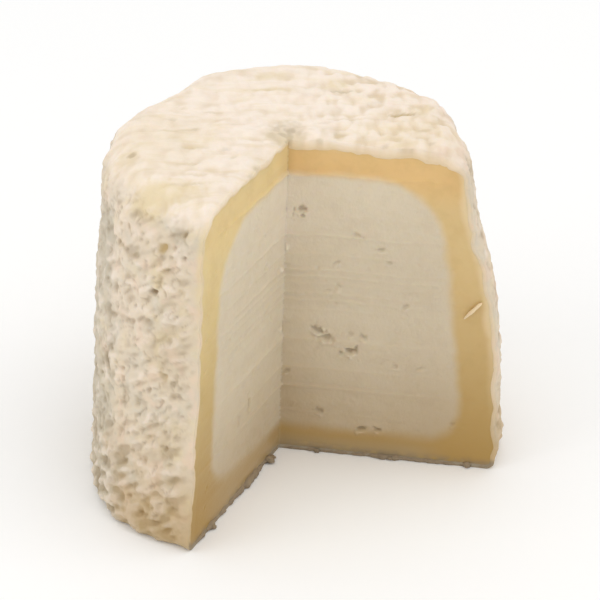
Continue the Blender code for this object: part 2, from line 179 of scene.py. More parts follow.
# Marks on the top: place to the right and away in the main view, then half length, half width,
# tilt in degrees, depth, darkness from 0 to 1 and yellowness from 0 to 1
TOP_MARKS = (
    (-23, -5.2, 0.6, 0.8, 0, 0.1, 0.7, 0.3), (-23.4, -5.5, 1.8, 2.5, 0, 0, 0.1, 0.6),
    (-16.5, 2.6, 3, 0.4, 8, 0.1, 0.2, 0.6), (-14.2, 2.9, 0.5, 0.45, 0, 0.1, 0.4, 0.2),
    (-17.9, 6.1, 0.8, 0.35, 0, 0.1, 0.3, 0.3), (-16.6, 10, 0.7, 0.45, 0, 0.1, 0.2, 0.4),
    (-12.2, 8.6, 1.6, 0.3, -5, 0.1, 0.25, 0.3), (-2.9, 14.9, 3.6, 0.4, 0, 0.1, 0.15, 0.8),
    (-9.7, -3.6, 0.6, 0.45, 0, 0.1, 0.3, 0), (-8.5, -6.1, 0.5, 0.5, 0, 0.1, 0.25, 0),
    (-14.3, -3, 1.9, 1.3, 0, 0.1, 0.15, 0.6), (-15, -8, 1.8, 0.4, 0, 0.12, 0.15, 0.5),
    (-14.2, -11.7, 1.6, 0.4, 0, 0.12, 0.2, 0.4), (-15, -14.4, 3.2, 0.35, 5, 0.15, 0.25, 0.4),
    (-15.8, -17.9, 2.6, 0.7, 0, 0.1, 0.15, 0.5), (-19.2, -16, 4.8, 3, 0, 0, 0, 1),
    (-24.2, -10, 0.5, 0.8, 0, 0.1, 0.35, 0.1), (-5, -9, 0.8, 0.6, 0, 0.2, 0.5, 0.3),
    (-6, -11.1, 0.5, 0.6, 0, 0.15, 0.4, 0.2), (7.2, 17.6, 1.8, 1.4, 0, 0, 0.05, 0.9),
    (-3.2, 19.5, 2.5, 1.2, 0, 0, 0, 0.6), (7.8, 15.3, 2, 0.4, -3, 0.15, 0.5, 0.3),
    (16.6, 7.2, 2.4, 0.4, 4, 0.25, 0.75, 1), (9.4, 5.6, 4.6, 0.3, 6, 0.1, 0.15, 0.4),
    (12.4, 10.9, 0.5, 0.5, 0, 0.05, 0.25, 0), (19.4, 8.5, 2.4, 1.7, -20, 0, 0.05, 0.7),
    (20.2, 2, 1, 0.45, 0, 0.1, 0.25, 0.7), (6.7, 0.8, 0.4, 0.8, 0, 0.15, 0.35, 0.3),
    (4, -1.8, 0.6, 0.45, 0, 0.15, 0.6, 0), (13.9, -2.1, 0.6, 0.4, 0, 0.1, 0.4, 0.1),
    (18, -3.7, 0.4, 0.45, 0, 0.1, 0.5, 0), (16.7, -3.4, 1.5, 0.4, 0, 0.1, 0.35, 0.2),
    (21, -2, 0.4, 0.45, 0, 0.1, 0.4, 0.1), (8.2, -3.3, 0.5, 0.45, 0, 0.1, 0.25, 0.2),
    (-2.3, 2.1, 0.7, 0.9, 0, 0.05, 0.52, 0.2), (-1.6, 3, 1, 0.5, 10, 0.05, 0.46, 0.1),
    (-0.2, 1.7, 1, 0.9, -10, 0.08, 0.74, 0.3), (-1.1, 0.6, 1.1, 0.6, -15, 0.05, 0.64, 0.2),
    (-0.4, 0.3, 0.6, 1.3, 0, 0.1, 0.7, 0.3), (-0.3, -1, 0.6, 1.3, 0, 0.15, 0.9, 0.3),
    (-3, 0.5, 1.1, 1.1, 20, 0.05, 0.44, 0.4), (0.9, 1.2, 0.8, 0.8, 0, 0.05, 0.44, 0.4),
    (4.1, -1, 0.6, 0.6, 0, 0.05, 0.45, 0.3), (-0.8, 0.6, 3.2, 3.4, 0, 0, 0.34, 0.4),
    (4.7, 4.2, 1.3, 0.3, 0, 0.1, 0.25, 0.1), (6, 8.2, 1.8, 1.8, 0, 0, 0.13, 0.1),
    (7.2, 0.3, 0.8, 1.1, 0, 0.05, 0.28, 0.7), (6.8, -0.2, 0.5, 0.5, 0, 0.05, 0.4, 0.5),
    (-19, -2, 7, 11, 0, 0, 0, 0.3), (18, 2, 7.5, 6, 0, 0, 0, 0.45),
)

# Rows of points down the top, the shoulder, the wall, the foot and the underside: of the rind,
# and of a cut face's outline
RIND_ROWS = (56, 26, 165, 7, 6)
OUTLINE_ROWS = (90, 60, 240, 16, 60)

# Columns round the rind, which are closer together on the wall that faces the main view, from
# an azimuth on
SPARSE_COLUMNS = 172
CLOSE_COLUMNS = 176
CLOSE_FROM = math.radians(200.0)
INNER_COLUMNS = 18

# Points across and up each cut face, and columns of the body's hidden outside
FACE_COLUMNS = 150
FACE_ROWS = 240
HIDDEN_COLUMNS = 12

# How far under the rind's outside the cut faces end and the body's hidden surface lies, and how
# much deeper that surface and the rind's inside are by the corner of the cuts
FACE_INSET = 0.4 * MM
HIDDEN_INSET = 0.7 * MM
INNER_INSET = 0.9 * MM
HIDDEN_SINK = 1.8 * MM
INNER_SINK = 2.0 * MM

# How many small openings each cut face has, and how far out and up they reach, in millimetres
SMALL_OPENINGS = 70
OPENINGS_OUT = 27.0
OPENINGS_UP = 50.0

# The torn rind along the foot of each cut: how far out it runs, and its size, in millimetres
FOOT_ROLLS = ((RIGHT_CUT, 31.3, 0.42), (LEFT_CUT, 30.4, 0.72))

# How near points are joined, and how far the scraps stay off the floor
WELD = 0.0005 * MM
FLOOR_LIFT = 0.02 * MM


def length(name, description, metres):
    """A property that holds a length."""
    return bpy.props.FloatProperty(
        name=name, description=description, default=metres, unit="LENGTH", precision=5)


def hue(name, description, colour):
    """A property that holds a colour."""
    return bpy.props.FloatVectorProperty(
        name=name, description=description, default=colour, subtype="COLOR", size=3, min=0, max=1)


class CheeseForm(bpy.types.PropertyGroup):
    """Sizes of the drum, its layers and its relief."""

    base_radius: length("Foot radius", "Radius of the drum at its foot", 32.0 * MM)
    top_radius: length(
        "Top radius", "Radius that the tapered wall would reach at the top", 26.6 * MM)
    height: length("Height", "Height of the drum at its rim", 54.9 * MM)
    barrel: length("Barrel", "How far the wall swells at half height", 0.64 * MM)
    crown: length("Crown", "How far the middle of the top rises over its rim", 0.1 * MM)
    shoulder: length("Shoulder", "Rounding between the wall and the top", 4.7 * MM)
    foot: length("Foot", "Rounding between the wall and the underside", 1.3 * MM)
    side_layer: length("Side layer", "Depth of the ripened cream behind the wall", 5.3 * MM)
    top_layer: length("Top layer", "Depth of the ripened cream under the top", 5.7 * MM)
    base_layer: length("Base layer", "Depth of the ripened cream over the underside", HEART_LOW.z)
    heart_shoulder: length("Heart shoulder", "Rounding of the paste's upper corner", 9.5 * MM)
    heart_foot: length("Heart foot", "Rounding of the paste's lower corner", 6.0 * MM)
    side_gain: length(
        "Side gain", "How much deeper the cream beside the paste is at the left cut", 1.1 * MM)
    top_gain: length(
        "Top gain", "How much deeper the cream over the paste is at the left cut", 1.5 * MM)
    base_gain: length(
        "Base gain", "How much deeper the cream below the paste is at the left cut", 2.4 * MM)
    skin: length("Rind", "Thickness of the rind where the cuts show it", 1.0 * MM)
    lumps: length("Lumps", "Height of the broad lumps", 0.60 * MM)
    folds: length("Folds", "Height of the folds", 0.30 * MM)
    pits: length("Pits", "Depth of the larger pits on the far wall", 0.40 * MM)
    dimples: length("Dimples", "Depth of the close small dimples", 0.36 * MM)
    furrows: length("Furrows", "Depth of the soft wrinkles", 0.22 * MM)
    knobs: length("Knobs", "Height of the close uneven knobs", 0.25 * MM)
    grain: length("Grain", "Height of the rind's fine grain", 0.12 * MM)
    streaks: length("Streaks", "Height of the soft ridges across the top", 0.20 * MM)
    roll: length("Roll", "How far the rind is rolled down at a cut's upper edge", 0.45 * MM)


class CheeseColours(bpy.types.PropertyGroup):
    """Colours of the cheese and its stage."""

    top: hue("Top rind", "Cream white of the top", (0.95, 0.83, 0.715))
    wall: hue("Wall rind", "Duller cream of the wall", (0.745, 0.63, 0.478))
    straw: hue("Straw patches", "Yellow patches and streaks on the rind", (0.8, 0.66, 0.4))
    blush: hue("Pink patches", "Faint pink of the rind round its pits", (0.84, 0.64, 0.49))
    bloom: hue("Bloom", "Grey-white mould bloom", (0.67, 0.60, 0.48))
    hollow: hue("Pits", "Brown at the bottom of the rind's pits", (0.24, 0.153, 0.066))
    mould: hue("Grey mould", "Grey-green mould on the top and round the foot", (0.38, 0.35, 0.27))
    crust: hue("Torn rind", "Grey-brown of the torn rind under the cuts", (0.26, 0.20, 0.135))
    edge: hue("Rind edge", "Where the cut rind turns to cream", (0.84, 0.66, 0.42))
    cream: hue("Ripened cream", "Straw yellow of the layer under the rind", (0.7, 0.51, 0.24))
    cream_top: hue(
        "Ripened cream, top", "Deeper yellow of that layer under the top", (0.775, 0.52, 0.225))
    cream_left: hue(
        "Ripened cream, left", "Paler yellow of that layer at the left cut", (0.80, 0.634, 0.325))
    cream_foot: hue("Ripened cream, foot", "Browner yellow low in that layer", (0.41, 0.25, 0.065))
    paste: hue("Paste", "Ivory of the paste", (0.68, 0.585, 0.435))
    paste_top: hue("Paste, top", "Ivory white high in the paste", (0.745, 0.65, 0.495))
    paste_foot: hue("Paste, foot", "Duller ivory low in the paste", (0.48, 0.37, 0.23))
    floor: hue("Floor", "Pale floor", (1.0, 1.0, 0.995))


class CheeseStage(bpy.types.PropertyGroup):
    """The camera and the light."""

    camera_distance: length("Camera distance", "From the middle of the cheese to the camera", 0.48)
    lens: bpy.props.FloatProperty(
        name="Lens", description="Focal length on a sensor 36 mm wide",
        default=189.1, unit="CAMERA")
    aim_right: length(
        "Aim right", "How far right of the cheese's axis the picture's centre is", 1.17 * MM)
    aim_down: length("Aim down", "How far below mid height the picture's centre is", 0.69 * MM)
    sky: bpy.props.FloatProperty(
        name="Sky", description="Strength of the even light all round", default=0.83)
    key: bpy.props.FloatProperty(
        name="Key", description="Strength of the large light overhead, in watts", default=1.0)
    fill: bpy.props.FloatProperty(
        name="Fill", description="Strength of the light from the front left, in watts",
        default=0.6)


class Wire:
    """One output of a shader node. Arithmetic on it adds Math nodes."""

    def __init__(self, paint, socket):
        self.paint = paint
        self.socket = socket

    def math(self, operation, *values):
        """A Math node on these values."""
        settings = {"operation": operation}
        return self.paint.node("ShaderNodeMath", settings, dict(enumerate(values)))

    def __add__(self, other):
        return self.math("ADD", self, other)

    def __sub__(self, other):
        return self.math("SUBTRACT", self, other)

    def __rsub__(self, other):
        return self.math("SUBTRACT", other, self)

    def __mul__(self, other):
        return self.math("MULTIPLY", self, other)

    def __pow__(self, other):
        return self.math("POWER", self, other)

    __radd__ = __add__
    __rmul__ = __mul__


class Paint:
    """A material and the nodes that make its surface."""

    def __init__(self, name):
        self.material = bpy.data.materials.new(name)
        self.material.use_nodes = True
        self.tree = self.material.node_tree
        self.shader = self.tree.nodes["Principled BSDF"]

    def node(self, kind, settings, inputs, output=0):
        """A node of a kind, with its settings made first, then its sockets set or linked."""
        made = self.tree.nodes.new(kind)
        for setting, value in settings.items():
            setattr(made, setting, value)
        for name, value in inputs.items():
            if isinstance(value, Wire):
                self.tree.links.new(value.socket, made.inputs[name])
            else:
                made.inputs[name].default_value = value
        return Wire(self, made.outputs[output])

    def place(self):
        """Where a point is, in metres in the frame."""
        return self.node("ShaderNodeTexCoord", {}, {}, "Object")

    def axis(self, name, place=None):
        """One of a place's three numbers, in metres."""
        return self.node("ShaderNodeSeparateXYZ", {}, {"Vector": place or self.place()}, name)

    def stored(self, name):
        """A value kept on the mesh."""
        return self.node("ShaderNodeAttribute", {"attribute_name": name}, {}, "Fac")

    def turned(self):
        """Places with +X to the right in the main view."""
        settings = {"rotation_type": "Z_AXIS"}
        inputs = {"Vector": self.place(), "Angle": -VIEW_AZIMUTH}
        return self.node("ShaderNodeVectorRotate", settings, inputs)

    def scaled(self, place, sizes):
        """Places measured in three sizes."""
        inputs = {0: place, 1: tuple(1 / size for size in sizes)}
        return self.node("ShaderNodeVectorMath", {"operation": "MULTIPLY"}, inputs)

    def cloud(self, size, detail=2.0, rough=0.5, offset=0.0, place=None):
        """Soft noise from 0 to 1, with features of a size in metres."""
        inputs = {0: place or self.place(), 1: (offset, offset, offset)}
        shifted = self.node("ShaderNodeVectorMath", {"operation": "ADD"}, inputs)
        inputs = {"Vector": shifted, "Scale": 1 / size, "Detail": detail, "Roughness": rough}
        return self.node("ShaderNodeTexNoise", {"noise_dimensions": "3D"}, inputs, "Fac")

    def band(self, value, low, high):
        """A smooth step from 0 to 1 as a value goes from low to high."""
        inputs = {"Value": value, "From Min": low, "From Max": high}
        return self.node("ShaderNodeMapRange", {"interpolation_type": "SMOOTHSTEP"}, inputs)

    def mix(self, share, first, second):
        """Two colours mixed: all first at share 0, all second at 1."""
        first, second = (end if isinstance(end, Wire) else (*end, 1.0) for end in (first, second))
        inputs = {0: share, 6: first, 7: second}
        return self.node("ShaderNodeMix", {"data_type": "RGBA"}, inputs, 2)

    def coated(self, colour, *coats):
        """A colour under further ones, each given as how much of it there is and itself."""
        for share, coat in coats:
            colour = self.mix(share, colour, coat)
        return colour

    def finish(self, colour, rough, height, depth):
        """Links what varies over the surface: colour, roughness and fine relief."""
        bump = self.node("ShaderNodeBump", {}, {"Height": height, "Distance": depth})
        self.tree.links.new(colour.socket, self.shader.inputs["Base Color"])
        self.tree.links.new(rough.socket, self.shader.inputs["Roughness"])
        self.tree.links.new(bump.socket, self.shader.inputs["Normal"])

    def soften(self, weight, radius, scale, shine):
        """Light that goes in and comes out near by, and how strongly the surface reflects."""
        self.shader.inputs["Subsurface Weight"].default_value = weight
        self.shader.inputs["Subsurface Radius"].default_value = radius
        self.shader.inputs["Subsurface Scale"].default_value = scale
        self.shader.inputs["Specular IOR Level"].default_value = shine


def wall_radius(form, height):
    """The plain drum's radius at a height, without its rounded shoulder."""
    share = height / form.height
    swell = form.barrel * 4 * share * (1 - share)
    return form.base_radius + (form.top_radius - form.base_radius) * share + swell


def half_section(form, counts):
    """Rows down the plain drum: radius, height, outward and upward part of its normal.

    counts are the rows on the top, the shoulder, the wall, the foot and the underside.
    """
    tops, shoulders, walls, feet, bases = counts
    high = form.height - form.shoulder
    rim = wall_radius(form, form.height) - form.shoulder
    edge = wall_radius(form, form.foot) - form.foot
    rows = []
    for step in range(tops):
        rows.append((rim * (step / tops) ** 1.3, form.height, 0.0, 1.0))
    for step in range(shoulders):
        angle = math.pi / 2 * step / shoulders
        level = high + form.shoulder * math.cos(angle)
        out = wall_radius(form, level) - form.shoulder * (1 - math.sin(angle))
        rows.append((out, level, math.sin(angle), math.cos(angle)))
    for step in range(walls):
        level = high + (form.foot - high) * step / walls
        rows.append((wall_radius(form, level), level, 1.0, 0.0))
    for step in range(feet):
        angle = math.pi / 2 * step / feet
        level = form.foot * (1 - math.sin(angle))
        rows.append((edge + form.foot * math.cos(angle), level, math.cos(angle), -math.sin(angle)))
    for step in range(bases + 1):
        rows.append((edge * (1 - step / bases), 0.0, 0.0, -1.0))
    return np.array(rows)


def smooth(value, low, high):
    """A smooth step from 0 to 1 as a value goes from low to high."""
    share = np.clip((value - low) / (high - low), 0.0, 1.0)
    return share * share * (3 - 2 * share)


def flat_length(points):
    """How far each point is from the origin, seen from above."""
    return np.hypot(points[..., 0], points[..., 1])


def unit(vectors):
    """Each vector at a length of 1."""
    return vectors / np.linalg.norm(vectors, axis=-1, keepdims=True)


def noise_at(points, size, shift=0.0):
    """Smooth noise from about -1 to 1 at each point, with features of a size."""
    places = (points.reshape(-1, 3) / size + shift).tolist()
    return np.array([noise.noise(place) for place in places]).reshape(points.shape[:-1])


def flat_noise(across, up, long, tall, shift, scale=1.0):
    """Smooth noise over a plane, with features of a length and a height, both times a scale."""
    places = np.stack([across / long, up / tall, np.zeros(across.shape)], -1)
    return noise_at(places, scale, shift)


def spots_at(points, size):
    """How far each point is from the nearest of many scattered spots, and that spot's lot.

    Both run from about 0 to 1; the lot is the same all over one spot.
    """
    near = [noise.voronoi(place) for place in (points.reshape(-1, 3) / size).tolist()]
    far = np.array([spot[0][0] for spot in near]).reshape(points.shape[:-1])
    lot = np.array([abs(noise.cell(spot[1][0] * 9.7)) for spot in near])
    return far, lot.reshape(points.shape[:-1])


def marked(across, up, marks, wobble):
    """How strong named marks are at each point, for each value that a mark has after its tilt."""
    totals = [np.zeros(across.shape) for _ in marks[0][5:]]
    for centre, level, long, tall, tilt, *values in marks:
        east = across - centre
        north = up - level
        cos = math.cos(math.radians(tilt))
        sin = math.sin(math.radians(tilt))
        ring = np.hypot((east * cos + north * sin) / long, (north * cos - east * sin) / tall)
        share = smooth(1.45 - ring * (1 + 0.4 * wobble), 0.0, 1.0)
        for total, value in zip(totals, values):
            np.maximum(total, share * value, out=total)
    return totals


def azimuth_of(points):
    """The azimuth of each point, in degrees."""
    return np.degrees(np.arctan2(points[..., 1], points[..., 0]))


def apart(azimuth, centre):
    """How many degrees each azimuth is past a centre, from -180 to 180."""
    return (azimuth - centre + 180.0) % 360.0 - 180.0


def bulge(points):
    """How far the drum is out of true at each point."""
    azimuth = azimuth_of(points)
    total = np.zeros(azimuth.shape)
    for centre, height, out, spread, tall in BULGES:
        turn = apart(azimuth, centre) / spread
        rise = (points[..., 2] - height * MM) / (tall * MM)
        total += out * MM * np.exp(-(turn**2) - rise**2)
    return total


def fading(azimuth, centre, spread, share):
    """A factor of 1 that falls by a share round an azimuth."""
    return 1 - share * np.exp(-((apart(azimuth, centre) / spread) ** 2))


def broad_relief(form, points, upward):
    """The rind's lumps and folds, which the solid has too."""
    lumps = form.lumps * noise_at(points, 11.0 * MM)
    folds = form.folds * (1 - 3.0 * np.abs(noise_at(points, 4.6 * MM)))
    return lumps + folds * (1 - 0.6 * upward)


def wall_relief(form, points, wobble, grain):
    """The wall's pits, wrinkles and marks: rise, and how hollow, yellow and knobbly it is."""
    azimuth = azimuth_of(points) % 360.0
    unnamed = 1 - smooth(azimuth, 196.0, 206.0)
    turned = apart(azimuth, LEAN_MIDDLE)
    climb = np.minimum(np.abs(turned), (180.0 - np.abs(turned)) / 3.0) * np.sign(turned)
    level = points[..., 2] - LEAN * AROUND * MM * climb
    flattened = np.stack([points[..., 0], points[..., 1], 1.6 * level], -1)
    far, lot = spots_at(flattened, 3.6 * MM)
    wild = smooth(0.34 - far * (1 + 0.5 * wobble), 0.0, 0.26) * smooth(lot, 0.25, 0.9) * unnamed
    far, lot = spots_at(flattened + 7.0 * MM, 1.7 * MM)
    dimples = smooth(0.42 - far * (1 + 0.5 * wobble), 0.0, 0.34) * (0.25 + 0.75 * lot)
    bent = flattened + 0.6 * MM * noise_at(points, 2.6 * MM)[..., None]
    crease = np.abs(noise_at(bent, 2.7 * MM, 0.3))
    furrows = smooth(0.13 - crease, 0.0, 0.13) * smooth(noise_at(points, 1.9 * MM, 5.0), -0.2, 0.3)
    knobs = noise_at(flattened, 2.7 * MM, 6.0) + 0.6 * noise_at(flattened, 1.4 * MM, 3.0)
    knobs *= 1.0 + 1.5 * (1 - smooth(points[..., 2], 3.0 * MM, 16.0 * MM))
    around = azimuth * AROUND
    marks = [(row[0] * AROUND, row[1] - LEAN * row[0] * AROUND, *row[2:]) for row in WALL_MARKS]
    depth, dark, yellow = marked(around, points[..., 2] / MM - LEAN * around, marks, wobble)
    sunk = form.pits * wild + form.dimples * dimples + form.furrows * furrows
    rise = form.knobs * knobs + form.grain * grain - sunk
    for place in CALM:
        rise *= fading(azimuth, *place)
    clear = fading(azimuth, *CLEAN_COLOUR)
    # How much the paint darkens each point: dimples, furrows, pits and named marks, partly the
    # rind's brown and partly painted shade in them
    hollow = np.maximum(0.60 * dimples, 0.40 * furrows) * clear
    hollow = np.maximum(hollow, np.maximum(0.55 * wild, dark))
    return rise - depth * MM, hollow, yellow, knobs * clear


def top_relief(form, points, wobble, grain):
    """The top's bumps, streaks and marks: rise, and how hollow, yellow and bumpy it is."""
    along = points[..., 0] * math.cos(VIEW_AZIMUTH) + points[..., 1] * math.sin(VIEW_AZIMUTH)
    away = points[..., 1] * math.cos(VIEW_AZIMUTH) - points[..., 0] * math.sin(VIEW_AZIMUTH)
    wave = flat_noise(along, away, 8.0, 1.7, 0.0, MM)
    wisp = flat_noise(along, away, 4.0, 1.5, 4.0, MM)
    bumps = flat_noise(along, away, 2.0, 3.0, 7.0, MM)
    bumps = bumps + 0.7 * flat_noise(along, away, 1.0, 1.8, 1.0, MM)
    bumps = np.tanh(1.6 * bumps) * 0.75 * (0.65 + 0.95 * smooth(along, 0.0, 10.0 * MM))
    depth, dark, yellow = marked(along / MM, away / MM, TOP_MARKS, wobble)
    rise = form.streaks * (wave + 0.4 * wisp) + 0.4 * form.grain * grain + form.knobs * bumps
    return rise - depth * MM, dark, yellow, bumps + 0.6 * wisp


def fine_relief(form, points, upward):
    """The rind's fine relief: its rise, and how hollow, yellow and low it is."""
    on_top = smooth(upward, 0.20, 0.85)
    on_wall = 1 - on_top
    wobble = noise_at(points, 0.7 * MM)
    grain = noise_at(points, 0.95 * MM, 2.0)
    wall_rise, wall_dark, wall_yellow, knobs = wall_relief(form, points, wobble, grain)
    top_rise, top_dark, top_yellow, bumps = top_relief(form, points, wobble, grain)
    above = smooth(points[..., 2], 0.90 * form.height, 0.95 * form.height)
    clean = smooth(from_cuts(form, points), 0.3 * MM, 3.5 * MM)
    clean = 0.25 + 0.75 * clean + 0.45 * (1 - clean) * on_top
    return (wall_rise * on_wall + top_rise * on_top) * clean, {
        "hollow": (wall_dark * on_wall + top_dark * on_top) * (clean * on_wall + on_top),
        "yellow": wall_yellow * (1 - above) + top_yellow * above,
        "low": -(knobs * on_wall + bumps * on_top) * clean,
    }


def corner_at(form, height):
    """Where the two cuts meet at a height."""
    share = np.asarray(height)[..., None] / form.height
    return CORNER_FOOT + (CORNER_TOP - CORNER_FOOT) * share


def twisted(form, turn, height):
    """A direction from the corner at a height: the left cut is slightly twisted."""
    share = (turn - RIGHT_CUT) / (LEFT_CUT - RIGHT_CUT)
    return turn + share * LEFT_TWIST * (1 - 2 * height / form.height)


def from_cuts(form, points):
    """How far each point of the drum is from the nearer cut."""
    flat = points[..., :2] - corner_at(form, points[..., 2])
    gaps = []
    for turn in (LEFT_CUT, RIGHT_CUT):
        here = twisted(form, turn, points[..., 2])
        beyond = flat[..., 0] * np.cos(here) + flat[..., 1] * np.sin(here) > 0
        behind = np.abs(flat[..., 1] * np.cos(here) - flat[..., 0] * np.sin(here))
        gaps.append(np.where(beyond, behind, flat_length(flat)))
    return np.minimum(*gaps)


def reach(corner, turn, radius):
    """How far from the notch's corner each direction meets a radius about the axis."""
    along = corner[0] * np.cos(turn) + corner[1] * np.sin(turn)
    return -along + np.sqrt(along**2 - corner @ corner + radius**2)


def drum_grid(form, turns, rows):
    """Plain points and normals: a row for each row of the half section, a column for each turn.

    The turns are directions from the notch's corner, which all of the columns start and end at.
    """
    rim = wall_radius(form, form.height) - form.shoulder
    edge = wall_radius(form, form.foot) - form.foot
    points = np.zeros((len(rows), len(turns), 3))
    normals = np.zeros_like(points)
    for index, (radius, level, outward, upward) in enumerate(rows):
        corner = corner_at(form, level)
        here = twisted(form, turns, level)
        if upward == 1.0:
            far = reach(corner, here, rim) * (radius / rim)
        elif upward == -1.0:
            far = reach(corner, here, edge) * (radius / edge)
        else:
            far = reach(corner, here, radius)
        flat = corner + far[:, None] * np.stack([np.cos(here), np.sin(here)], axis=1)
        middle = flat_length(flat)
        points[index, :, :2] = flat
        points[index, :, 2] = level
        if level >= form.height - form.shoulder:
            points[index, :, 2] += form.crown * np.clip(1 - (middle / rim) ** 2, 0, 1)
        normals[index, :, :2] = outward * flat / np.maximum(middle, MM)[:, None]
        normals[index, :, 2] = upward
    return points, normals


def shape_skin(form, points, normals, fine):
    """Moves plain points to the rind's real surface.

    Returns them with what the rind is like there, if fine. The underside stays flat, and its
    rim only moves in or out. At the cuts the rind is rolled over, most of all on the top.
    """
    radius = flat_length(points)
    upward = np.clip(normals[..., 2], 0.0, 1.0)
    rise = broad_relief(form, points, upward)
    traits = {}
    if fine:
        detail, traits = fine_relief(form, points, upward)
        rise += detail
    torn = 1 + 0.6 * noise_at(points, 2.2 * MM, 9.0)
    roll = form.roll * (0.25 + 0.75 * upward) * torn
    rise -= roll * (1 - smooth(from_cuts(form, points), 0.0, 1.6 * MM))
    out = points * (1.0, 1.0, 0.0) / np.maximum(radius, MM)[..., None]
    along = np.where((points[..., 2] < form.foot)[..., None], out, normals)
    rim = form.base_radius - 2 * form.foot
    swell = bulge(points) * np.minimum(1.0, radius / rim)
    shift = along * rise[..., None] + out * swell[..., None]
    shift[(normals[..., 2] == -1.0) & (radius < rim)] = 0.0
    return points + shift, traits


def grid_faces(rows, columns, start):
    """Quads of a grid of points numbered row by row from start."""
    index = start + np.arange(rows * columns).reshape(rows, columns)
    corners = (index[:-1, :-1], index[1:, :-1], index[1:, 1:], index[:-1, 1:])
    return np.stack(corners, axis=-1).reshape(-1, 4)


def welded(name, grids, values, material):
    """One closed mesh from grids of points that meet along their edges.

    values holds, for each name, one array for each grid, which the mesh keeps at its points.
    """
    places = []
    faces = []
    start = 0
    for grid in grids:
        places.append(grid.reshape(-1, 3))
        faces.append(grid_faces(grid.shape[0], grid.shape[1], start))
        start += grid.shape[0] * grid.shape[1]
    mesh = bpy.data.meshes.new(name)
    mesh.from_pydata(np.concatenate(places), [], np.concatenate(faces).tolist())
    for value_name, arrays in values.items():
        kept = mesh.attributes.new(value_name, "FLOAT", "POINT")
        flat = np.concatenate([array.ravel() for array in arrays])
        kept.data.foreach_set("value", flat.astype(np.float32))
    return closed(name, mesh, material, True)


def closed(name, mesh, material, weld):
    """An object from a mesh, its faces turned out and, where asked, its near points joined."""
    joined = bmesh.new()
    joined.from_mesh(mesh)
    if weld:
        bmesh.ops.remove_doubles(joined, verts=joined.verts[:], dist=WELD)
        bmesh.ops.dissolve_degenerate(joined, edges=joined.edges[:], dist=WELD / 10)
    bmesh.ops.recalc_face_normals(joined, faces=joined.faces[:])
    joined.to_mesh(mesh)
    joined.free()
    mesh.shade_smooth()
    mesh.materials.append(material)
    return linked(name, mesh)


def linked(name, data):
    """An object with its data, in the scene."""
    made = bpy.data.objects.new(name, data)
    bpy.context.scene.collection.objects.link(made)
    return made


def sunk_in(form, points, depth):
    """Points near the corner of the two cuts moved back from them, into the cheese."""
    flat = points[..., :2] - corner_at(form, points[..., 2])
    near = 1 - smooth(flat_length(flat), 2.0 * MM, 10.0 * MM)
    return points - into_wedge() * (depth * near)[..., None]


def cut_normal(turn):
    """The direction in which a cut's face looks, into the open wedge."""
    side = -1.0 if turn == RIGHT_CUT else 1.0
    return np.array((-math.sin(turn), math.cos(turn), 0.0)) * side


def into_wedge():
    """The mean of the two cuts' directions, which holds at their corner."""
    return (cut_normal(LEFT_CUT) + cut_normal(RIGHT_CUT)) / 2


def rind_edge(form, border, normals, turn):
    """The rind's cut edge: a torn strip from its outside to behind the cut face."""
    facing = cut_normal(turn)
    normals = unit(normals)
    on_top = smooth(normals[:, 2], 0.05, 0.7)
    torn = noise_at(border, 4.5 * MM) + 0.7 * noise_at(border, 1.7 * MM)
    outward = smooth(flat_length(border), 0.6 * form.top_radius, form.top_radius)
    above, shoulder = (1.0, 0.5) if turn == RIGHT_CUT else (0.45, -0.1)
    deep = 0.5 + on_top * (above + shoulder * outward) + (0.12 + 0.35 * on_top) * torn
    deep = np.maximum(deep, 0.65) * form.skin
    proud = 0.05 * MM * (1 + noise_at(border, 1.3 * MM, 5.0)) + 0.06 * MM * on_top
    toward = np.repeat(facing[None], len(border), axis=0)
    toward[[0, -1]] = into_wedge()
    strip = [border]
    for share, out in ((0.3, 1.0), (0.65, 0.9)):
        strip.append(border - normals * (deep * share)[:, None] + toward * (proud * out)[:, None])
    strip.append(border - normals * deep[:, None] - toward * 0.03 * MM)
    strip.append(border - normals * (deep + 0.5 * MM)[:, None] - toward * 0.5 * MM)
    return np.stack(strip, axis=1)


def make_rind(form, material):
    """The rough skin all round, with its torn edges at the two cuts."""
    rows = half_section(form, RIND_ROWS)
    sparse = np.linspace(RIGHT_CUT, CLOSE_FROM, SPARSE_COLUMNS, endpoint=False)
    turns = np.concatenate([sparse, np.linspace(CLOSE_FROM, LEFT_CUT, CLOSE_COLUMNS)])
    points, normals = drum_grid(form, turns, rows)
    outer, traits = shape_skin(form, points, normals, True)
    traits["upward"] = np.clip(normals[..., 2], 0, 1)
    right = rind_edge(form, outer[:, 0], normals[:, 0], RIGHT_CUT)
    left = rind_edge(form, outer[:, -1], normals[:, -1], LEFT_CUT)
    inner_turns = np.linspace(RIGHT_CUT, LEFT_CUT, INNER_COLUMNS)
    inside, inside_normals = drum_grid(form, inner_turns, rows)
    inner, _ = shape_skin(form, inside, inside_normals, False)
    inner = sunk_in(form, inner - unit(inside_normals) * (form.skin + INNER_INSET), INNER_SINK)
    inner[:, 0] = right[:, -1]
    inner[:, -1] = left[:, -1]
    grids = [outer, right, left, inner]
    values = {name: [trait] for name, trait in traits.items()}
    values["edge"] = [0.3 * (1 - smooth(from_cuts(form, outer), 0.0, 1.5 * MM))]
    for strip, column in ((right, 0), (left, -1)):
        for name, trait in traits.items():
            values[name].append(np.repeat(trait[:, column, None], strip.shape[1], axis=1))
        values["edge"].append(np.tile(np.linspace(0.3, 1.0, strip.shape[1]), (len(strip), 1)))
    for arrays in values.values():
        arrays.append(np.zeros(inner.shape[:2]))
    return welded("rind", grids, values, material)


